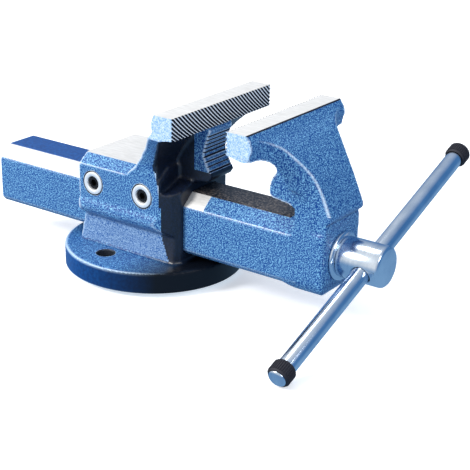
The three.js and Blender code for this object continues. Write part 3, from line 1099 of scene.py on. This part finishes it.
    def is_round(self, at: Vector, _: Vector) -> bool:
        """Tells if a face lies where the column and the arm curve gently into each other."""
        return (
            at.x > 162 and 74.5 < at.z < 80
            or at.x > 152 and at.z < 74
            or 134 < at.x < 152 and 62 < at.z < 256 - at.x
        )

    def is_front_ridge(self, at: Vector, normal: Vector) -> bool:
        """Tells if a face lies on the ridge of the slide, in front of the guide."""
        end = 139.5 - 5 * (at.y / self.ridge_half) ** 4
        return normal.z > 0.93 and 69 < at.z < 70.5 and 42 < at.x < end

    def make(self) -> None:
        """Makes the finished moving jaw."""
        parts = [self.slide(), self.column(), self.arm(), self.jaw(), self.pipe_jaw()]
        jaw = all_of("jaw_forging", parts)
        forged(jaw, self.grain, 4)
        jaw.data.materials.clear()
        jaw.data.materials.append(ENAMEL.build())
        machined(jaw, self.tools())
        line = [(114.6, 87.8), (116.5, 94.8), (120.5, 100.3), (115.5, 108), (118.6, 115.6)]
        machined(jaw, [pipe_teeth(line, 1, self.pipe_half)])
        machined(jaw, [JawFace(self.face, -1).grooves()])
        for finish, where in (
            # Paler enamel on the jaw ends, partly painted light.
            (PALE_ENAMEL, self.is_sawn),
            (SOFT_ENAMEL, self.is_round),
            # Painted shade in the step under the arm.
            (STEP_SHADE_ENAMEL, lambda c, n: c.x > 165 and 72.3 < c.z <= 74.5 and abs(c.y) < 24),
            # Painted shade and reflection on the slide's ridge in front of the guide.
            (RIDGE_SHADE_ENAMEL, self.is_front_ridge),
            # Painted shade on the ridge of the slide behind the guide.
            (SHADED_ENAMEL, lambda c, n: n.z > 0.9 and 69 < c.z < 70.5 and c.x <= 42),
        ):
            paint_faces(jaw, finish.build(), where)
        seat(smooth(jaw), "sliding_jaw", "moving_jaw")


# ---------------------------------------------------------------- spindle and handle


@dataclass
class Spindle:
    """The trapezoidal screw with its plated head, and what turns with it."""

    extent: Extent = field(default_factory=lambda: Extent.of("spindle"))
    tilt: float = math.radians(20)
    handle_x: float = 191.0
    pitch: float = 5.0
    crest: float = 9.5
    root: float = 7.0
    thread_front: float = 118.0
    thread_steps: int = 24  # faces round one turn
    bar_bore: float = 6.85
    inner: float = 10.3  # bore of the thrust ring and of the collar
    head_back: float = 171.1
    shank: float = 10.0

    @property
    def axis(self) -> float:
        """The height of the spindle."""
        return self.extent.middle.z

    @property
    def handle_axis(self) -> Vector:
        """The direction of the tommy bar, up and away from the near side."""
        return Vector((0, math.cos(self.tilt), math.sin(self.tilt)))

    def core(self) -> bpy.types.Object:
        """Returns the screw's shank and head in one turning."""
        rear, front = self.extent.low.x, self.extent.high.x
        radius, back = self.extent.high.y, self.head_back
        profile = [
            (rear, 0), (rear, self.root - 1), (rear + 1, self.root),
            (self.thread_front + 3, self.root), (self.thread_front + 5, self.shank),
            (back, self.shank), (back, radius - 0.8),
            (back + 0.3, radius - 0.25), (back + 0.9, radius), (front - 2.4, radius),
            (front - 1.3, radius - 0.4), (front - 0.5, radius - 1.2), (front, radius - 2.6),
            (front, 0),
        ]
        return spun("spindle_screw", profile, (0, 0, self.axis), (1, 0, 0), PLATED.build(), 128)

    def coil(self) -> bpy.types.Object:
        """Returns the thread's ridge as a closed coil round the core."""
        deselect()
        bpy.ops.mesh.primitive_circle_add(vertices=4, radius=DRAWN, fill_type="NGON")
        piece = bpy.context.active_object
        piece.name = "thread_coil"
        foot = self.root - 0.6
        section = [(-1.45, foot), (-0.8, self.crest), (0.8, self.crest), (1.45, foot)]
        for vertex, (along, radius) in zip(piece.data.vertices, section):
            vertex.co = Vector((radius, 0, along)) * MM
        rear = self.extent.low.x
        turns = int((self.thread_front - rear - 5) / self.pitch)
        finish_with(
            piece,
            "SCREW",
            angle=math.tau,
            screw_offset=self.pitch * MM,
            iterations=turns,
            steps=self.thread_steps,
            render_steps=self.thread_steps,
            axis="Z",
            use_merge_vertices=False,
        )
        hold(piece)
        bpy.ops.object.mode_set(mode="EDIT")
        bpy.ops.mesh.select_all(action="SELECT")
        bpy.ops.mesh.fill_holes(sides=0)
        close_up()
        bpy.ops.object.mode_set(mode="OBJECT")
        piece.data.transform(aimed(Vector((rear + 3, 0, self.axis)), Vector((1, 0, 0))))
        piece.data.materials.append(TURNED.build())
        return piece

    def pin_hole(self) -> bpy.types.Object:
        """Returns the drill of the pin's hole, right through the spindle and its collar."""
        at = (Extent.of("retaining_collar").middle.x, 0, self.axis)
        return spun(
            "pin_hole", [(-20, 0), (-20, 2.3), (20, 2.3), (20, 0)], at, (0, 0, 1), BORED.build(), 24
        )

    def screw(self) -> None:
        """Makes the screw with its head, bored for the tommy bar and the pin."""
        radius = self.bar_bore
        hole = [
            (-40, 0), (-40, radius + 1.4), (-15.2, radius + 1.4), (-13.6, radius), (13.6, radius),
            (15.2, radius + 1.4), (40, radius + 1.4), (40, 0),
        ]
        at = (self.handle_x, 0, self.axis)
        screw = self.core()
        bar_hole = spun("bar_hole", hole, at, self.handle_axis, PLATED.build())
        machined(screw, [bar_hole, self.pin_hole()])
        combine(screw, self.coil(), Cut.ADD)
        smooth(screw, 28)
        seat(screw, "spindle_assembly", "spindle")

    def thrust_ring(self) -> None:
        """Makes the ring behind the head."""
        ring = Extent.of("thrust_ring")
        rim = ring.high.z - self.axis
        profile = [
            (ring.low.x, self.inner), (ring.low.x, rim - 0.3), (ring.low.x + 0.3, rim),
            (ring.high.x - 1.3, rim), (ring.high.x - 0.6, rim - 0.4), (ring.high.x, rim - 1.4),
            (ring.high.x, self.inner),
        ]
        washer = spun("thrust_washer", profile, (0, 0, self.axis), (1, 0, 0), PLATED.build(), 96)
        seat(smooth(washer), "spindle_assembly", "thrust_ring")

    def collar(self) -> None:
        """Makes the collar that keeps the screw in the moving jaw."""
        collar = Extent.of("retaining_collar")
        rim = collar.high.z - self.axis
        profile = [
            (collar.low.x, self.inner), (collar.low.x, rim - 1), (collar.low.x + 1, rim),
            (collar.high.x - 1, rim), (collar.high.x, rim - 1), (collar.high.x, self.inner),
        ]
        keeper = spun("collar_turning", profile, (0, 0, self.axis), (1, 0, 0), TURNED.build(), 72)
        machined(keeper, [self.pin_hole()])
        seat(smooth(keeper), "spindle_assembly", "retaining_collar")

    def pin(self) -> None:
        """Makes the pin that fixes the collar to the screw."""
        pin = Extent.of("collar_pin")
        low, high = pin.low.z - self.axis, pin.high.z - self.axis
        profile = [
            (low, 0), (low, 1.5), (low + 0.5, 2), (high - 0.5, 2), (high, 1.5), (high, 0),
        ]
        at = (Extent.of("retaining_collar").middle.x, 0, self.axis)
        dowel = spun("collar_dowel", profile, at, (0, 0, 1), TURNED.build(), 24)
        seat(smooth(dowel), "spindle_assembly", "collar_pin")

    def make(self) -> None:
        """Makes the screw, its thrust ring, its collar and the collar's pin."""
        self.screw()
        self.thrust_ring()
        self.collar()
        self.pin()


@dataclass
class Handle:
    """The sliding tommy bar and its two knurled end rings."""

    spindle: Spindle
    length: float = 266.0
    offset: float = 9.8
    radius: float = 6.5
    dome: float = 2.3
    ring_radius: float = 8.4
    ring_length: float = 11.0
    teeth: int = 34

    def at(self) -> Vector:
        """The middle of the bar."""
        centre = Vector((self.spindle.handle_x, 0, self.spindle.axis))
        return centre + self.spindle.handle_axis * self.offset

    def bar(self) -> None:
        """Makes the bar with crowned ends."""
        half, crown = self.length / 2, self.dome
        end = [
            (half - crown * share, self.radius * math.sqrt(max(0.0, 1 - (1 - share) ** 2)))
            for share in (0, 0.06, 0.16, 0.3, 0.46, 0.64, 0.82, 1.0)
        ]
        profile = [(-a, r) for a, r in end] + end[::-1]
        piece = spun("tommy_bar", profile, self.at(), self.spindle.handle_axis, PLATED.build(), 96)
        seat(smooth(piece), "handle", "handle_bar")

    def ring(self, node: str, end: int) -> None:
        """Makes one end ring: plain rims with straight teeth between them."""
        outside = self.length / 2 - self.dome
        inside = outside - self.ring_length
        rim, inner = self.ring_radius, self.radius + 0.3
        profile = [
            (inside, inner), (inside, rim - 1.5), (inside + 0.5, rim - 0.9),
            (inside + 1.1, rim - 0.55), (outside - 1.1, rim - 0.55), (outside - 0.5, rim - 0.9),
            (outside, rim - 1.5),
            (outside, inner),
        ]
        if end < 0:
            profile = [(-a, r) for a, r in reversed(profile)]
        axis = self.spindle.handle_axis
        piece = spun(node + "_knurl", profile, self.at(), axis, KNURLED.build(), 102)
        turn = aimed(self.at(), axis)
        middle = end * (inside + outside) / 2
        reach = self.ring_length / 2 - 1.5
        teeth = []
        for i in range(self.teeth):
            angle = math.tau * i / self.teeth
            tooth = prism(
                "tooth",
                [(rim - 0.9, -0.56), (rim, -0.2), (rim, 0.2), (rim - 0.9, 0.56)],
                Run.UP_Z,
                middle - reach,
                middle + reach,
                KNURLED.build(),
            )
            tooth.data.transform(turn @ Matrix.Rotation(angle, 4, "Z"))
            teeth.append(tooth)
        combine(piece, joined("teeth", teeth), Cut.ADD)
        smooth(piece, 25)
        seat(piece, "handle", node)

    def make(self) -> None:
        """Makes the bar and both rings."""
        self.bar()
        self.ring("handle_ring_lower", -1)
        self.ring("handle_ring_upper", 1)


# ---------------------------------------------------------------- guide hardware


def hexagon(flats: float) -> Outline:
    """Returns a hexagon outline of a width across flats."""
    corner = flats / math.sqrt(3)
    return [
        (corner * math.cos(math.radians(a)), corner * math.sin(math.radians(a)))
        for a in range(0, 360, 60)
    ]


@dataclass
class GuideHardware:
    """The gibs, their adjusting screws and lock rings, the nut and the end cover."""

    thread_pitch: float = 1.25  # of the set screws
    thread_radius: float = 5.0
    socket_flats: float = 5.0
    gib_rise: float = 9.2 / 11  # slope of the slide's bevels
    gib_edge: tuple[float, float] = (24.8, 60.85)  # Y and Z of the bevel's lower edge, at the gib

    def socket(self, flats: float, depth: float, at: Vector, out: Vector) -> bpy.types.Object:
        """Returns the cutter of a hexagon socket that opens along a direction."""
        tool = prism("socket", hexagon(flats), Run.UP_Z, -depth, 2, BLACK_OXIDE.build())
        tool.data.transform(aimed(at, out))
        return tool

    def adjuster(self, side_name: str, side: int, end: str) -> None:
        """Makes one set screw and the ring that locks it."""
        node = f"adjusting_screw_{side_name}_{end}"
        place = Extent.of(node)
        length = place.high.y - place.low.y
        out = Vector((0, side, 0))
        outer = max(abs(place.low.y), abs(place.high.y))
        face = Vector((place.middle.x, side * outer, place.middle.z))
        crest = self.thread_radius
        root = crest - 0.55
        profile = [(0, 0), (0, 4.4), (-0.6, crest)]
        for i in range(int((length - 1.6) / self.thread_pitch)):
            start = 0.8 + i * self.thread_pitch
            profile += [
                (-start, crest), (-start - 0.5, root), (-start - 0.75, root), (-start - 1.2, crest),
            ]
        profile += [(-length + 0.6, crest), (-length, 4.3), (-length, 0)]
        screw = spun(f"set_screw_{side_name}_{end}", profile, face, out, BLACK_OXIDE.build(), 40)
        machined(screw, [self.socket(self.socket_flats, 3.4, face, out)])
        smooth(screw)
        seat(screw, f"adjuster_{side_name}_{end}", node)

        node = f"lock_ring_{side_name}_{end}"
        place = Extent.of(node)
        depth = place.high.y - place.low.y
        outer = max(abs(place.low.y), abs(place.high.y))
        at = Vector((place.middle.x, side * outer, place.middle.z))
        rim = place.high.x - place.middle.x
        profile = [
            (-depth, 5.3), (-depth, rim - 0.3), (-depth + 0.3, rim), (-0.7, rim), (-0.2, rim - 0.25),
            (0, rim - 0.8), (0, 6.1), (-0.25, 5.6), (-0.9, 5.3),
        ]
        ring = spun(f"zinc_ring_{side_name}_{end}", profile, at, out, ZINC.build(), 72)
        seat(smooth(ring), "vise_body", node)

    def gib(self, side_name: str, side: int) -> None:
        """Makes one gib with eased edges."""
        place = Extent.of("guide_gib_" + side_name)
        low, high = place.low.z, place.high.z
        edge, height = self.gib_edge
        line = [(y, height + (edge - y) * self.gib_rise) for y in (26, 16)]
        outline = [(28.2, low), (28.2, high), (18.6, high), line[1], line[0], (26.2, low)]
        piece = prism(
            "gib_bar_" + side_name,
            [(side * a, b) for a, b in outline],
            Run.ALONG_X,
            place.low.x,
            place.high.x,
            TURNED.build(),
        )
        smooth(bevelled(piece, 0.25, 1))
        seat(piece, "vise_body", "guide_gib_" + side_name)

    def nut(self) -> None:
        """Makes the bronze nut on its stem, and its two screws."""
        place = Extent.of("spindle_nut")
        axis = Extent.of("spindle").middle.z
        length = place.high.x - place.low.x
        barrel = spun(
            "bronze_nut",
            [(0, 0), (0, 13), (1, 14), (length - 1, 14), (length, 13), (length, 0)],
            (place.low.x, 0, axis), (1, 0, 0), BRONZE.build(), 72,
        )
        stem = block(
            "stem", (place.low.x, -7.5, place.low.z), (place.high.x, 7.5, axis), BRONZE.build()
        )
        combine(barrel, stem, Cut.ADD)
        bore = [(-1, 0), (-1, 9.8), (length + 1, 9.8), (length + 1, 0)]
        tools = [spun("nut_bore", bore, (place.low.x, 0, axis), (1, 0, 0), BRONZE.build(), 64)]
        for end in ("rear", "front"):
            screw = Extent.of("nut_screw_" + end)
            hole = [(0, 0), (0, 4.3), (screw.high.z + 0.3, 4.3), (screw.high.z + 0.3, 0)]
            at = (screw.middle.x, 0, 0)
            tools.append(spun("tapping", hole, at, (0, 0, 1), BRONZE.build(), 32))
        machined(barrel, tools)
        seat(smooth(barrel), "vise_body", "spindle_nut")
        for end in ("rear", "front"):
            self.cap_screw(
                "nut_screw_" + end, "nut_cap_screw_" + end, "vise_body", Vector((0, 0, 1)),
                7.4, 4.0, 6.0,
            )

    def cap_screw(
        self, node: str, name: str, body: str, axis: Vector, head: float, shank: float, flats: float
    ) -> None:
        """Makes a socket-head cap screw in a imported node's box.

        Args:
            node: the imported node.
            name: the piece's name.
            body: the body that it rides on.
            axis: from the head to the tip.
            head: the head's height.
            shank: the shank's radius.
            flats: the socket's width across flats.
        """
        place = Extent.of(node)
        size = place.high - place.low
        length = abs(size.dot(axis))
        radius = max(size.y, size.z if abs(axis.z) < 0.5 else size.x) / 2
        at = place.middle - axis * (length / 2)
        threads = []
        pitch = shank * 0.3
        start = head + 2
        while start + pitch < length - 0.8:
            threads += [
                (start, shank), (start + pitch * 0.4, shank * 0.87),
                (start + pitch * 0.6, shank * 0.87), (start + pitch * 0.95, shank),
            ]
            start += pitch
        profile = [(0, 0), (0, radius - 0.5), (0.5, radius), (head, radius), (head, shank)] + threads
        profile += [(length - 0.6, shank), (length, shank * 0.8), (length, 0)]
        piece = spun(name, profile, at, axis, BLACK_OXIDE.build(), 48)
        machined(piece, [self.socket(flats, head * 0.55, at, -axis)])
        seat(smooth(piece), body, node)

    def cover(self) -> None:
        """Makes the plate that closes the slide's rear end, with its two screws."""
        place = Extent.of("slide_end_cover")
        outline = mirrored([(22, 26.4), (22, 58.9), (12.8, 66.5)])
        plate = prism("end_plate", outline, Run.ALONG_X, place.low.x, place.high.x, TURNED.build())
        bevelled(plate, 0.4, 2)
        tools = []
        for side_name in ("left", "right"):
            screw = Extent.of("end_cover_screw_" + side_name)
            hole = [(-3, 0), (-3, 2.3), (6, 2.3), (6, 0)]
            at = (place.low.x, screw.middle.y, screw.middle.z)
            tools.append(spun("cover_hole", hole, at, (1, 0, 0), TURNED.build(), 24))
        machined(plate, tools)
        seat(smooth(plate), "sliding_jaw", "slide_end_cover")
        for side_name in ("left", "right"):
            self.cap_screw(
                "end_cover_screw_" + side_name, "cover_cap_screw_" + side_name, "sliding_jaw",
                Vector((1, 0, 0)), 1.8, 2.0, 2.5,
            )

    def make(self) -> None:
        """Makes all of the hardware."""
        for side_name, side in (("left", -1), ("right", 1)):
            self.gib(side_name, side)
            for end in ("rear", "front"):
                self.adjuster(side_name, side, end)
        self.nut()
        self.cover()


# ---------------------------------------------------------------- studio


@dataclass
class Studio:
    """The pale floor, the soft lights and the camera."""

    camera_at: Vector = field(default_factory=lambda: Vector((0.56603, -0.69796, 0.37744)))
    looks_at: Vector = field(default_factory=lambda: Vector((0.07657, 0.0, 0.03763)))
    roll: float = math.radians(1.14)
    lens: float = 94.76
    lamps: tuple = (  # name, place, size in metres and watts
        ("key", (-0.7, -1.2, 1.0), 0.5, 24), ("top", (-0.3, 0.1, 1.5), 0.6, 5),
        ("front", (1.3, -0.3, 0.9), 0.6, 7),
    )

    def floor(self) -> None:
        """Lays a plain floor under the lowest point of the vise."""
        deselect()
        bpy.ops.mesh.primitive_plane_add(size=30, location=(0, 0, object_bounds()[0].z - 0.0005))
        floor = bpy.context.active_object
        floor.name = "studio_floor"
        material = bpy.data.materials.new("white_paper")
        material.use_nodes = True
        shader = material.node_tree.nodes["Principled BSDF"]
        shader.inputs["Base Color"].default_value = linear("f4f4f4")
        shader.inputs["Roughness"].default_value = 0.9
        shader.inputs["Specular IOR Level"].default_value = 0.1
        shader.inputs["Emission Color"].default_value = linear("ffffff")
        shader.inputs["Emission Strength"].default_value = 0.45
        floor.data.materials.append(material)
        floor.visible_diffuse = False
        floor.visible_glossy = False
        floor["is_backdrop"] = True

    def light(self, name: str, at: tuple, size: float, watts: float) -> None:
        """Hangs one square soft light that faces the vise."""
        data = bpy.data.lights.new(name, "AREA")
        data.size = size
        data.energy = watts
        lamp = bpy.data.objects.new(name, data)
        lamp.location = at
        aim = self.looks_at - Vector(at)
        lamp.rotation_euler = aim.to_track_quat("-Z", "Y").to_euler()
        bpy.context.scene.collection.objects.link(lamp)

    def surroundings(self) -> None:
        """Surrounds the vise with a pale wall on the window side and a blue one on the other."""
        world = bpy.data.worlds.new("studio")
        world.use_nodes = True
        tree = world.node_tree
        tree.nodes.clear()
        place = add(tree, "ShaderNodeTexCoord", {})
        window = Vector((-0.5, -0.6, 0.62)).normalized()
        facing = add(
            tree,
            "ShaderNodeVectorMath",
            {0: place.outputs["Generated"], 1: window},
            operation="DOT_PRODUCT",
        )
        share = add(tree, "ShaderNodeMapRange", {0: facing.outputs[1], 1: -0.3, 2: 0.75})
        walls = mixed(tree, share.outputs[0], linear("5486ba"), linear("ffffff"))
        parts = add(tree, "ShaderNodeSeparateXYZ", {0: place.outputs["Generated"]})
        above = add(tree, "ShaderNodeMapRange", {0: parts.outputs[2], 1: -0.3, 2: 0.08})
        shown = mixed(tree, above.outputs[0], linear("86aed4"), walls)
        light = add(tree, "ShaderNodeBackground", {"Color": shown, "Strength": 0.9})
        add(tree, "ShaderNodeOutputWorld", {"Surface": light.outputs[0]})
        bpy.context.scene.world = world

    def camera(self) -> None:
        """Sets the camera, rolled a little about its own line of sight."""
        data = bpy.data.cameras.new("camera")
        data.lens = self.lens
        data.sensor_width = 36
        data.clip_start, data.clip_end = 0.01, 60
        camera = bpy.data.objects.new("camera", data)
        aim = (self.looks_at - self.camera_at).to_track_quat("-Z", "Y").to_matrix().to_4x4()
        turn = aim @ Matrix.Rotation(self.roll, 4, "Z")
        camera.matrix_world = Matrix.Translation(self.camera_at) @ turn
        bpy.context.scene.collection.objects.link(camera)
        bpy.context.scene.camera = camera

    def make(self) -> None:
        """Sets up the whole studio."""
        self.floor()
        for lamp in self.lamps:
            self.light(*lamp)
        self.surroundings()
        bpy.context.scene.view_settings.view_transform = "Standard"
        self.camera()


def main() -> None:
    """Builds the vise, then the studio."""
    logging.basicConfig(level=logging.INFO, format="%(message)s")
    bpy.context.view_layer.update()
    grain = 1.15
    FixedBody(grain).make()
    MovingJaw(grain).make()
    spindle = Spindle()
    spindle.make()
    Handle(spindle).make()
    GuideHardware().make()
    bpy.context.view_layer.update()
    Studio().make()


if __name__ == "__main__":
    main()
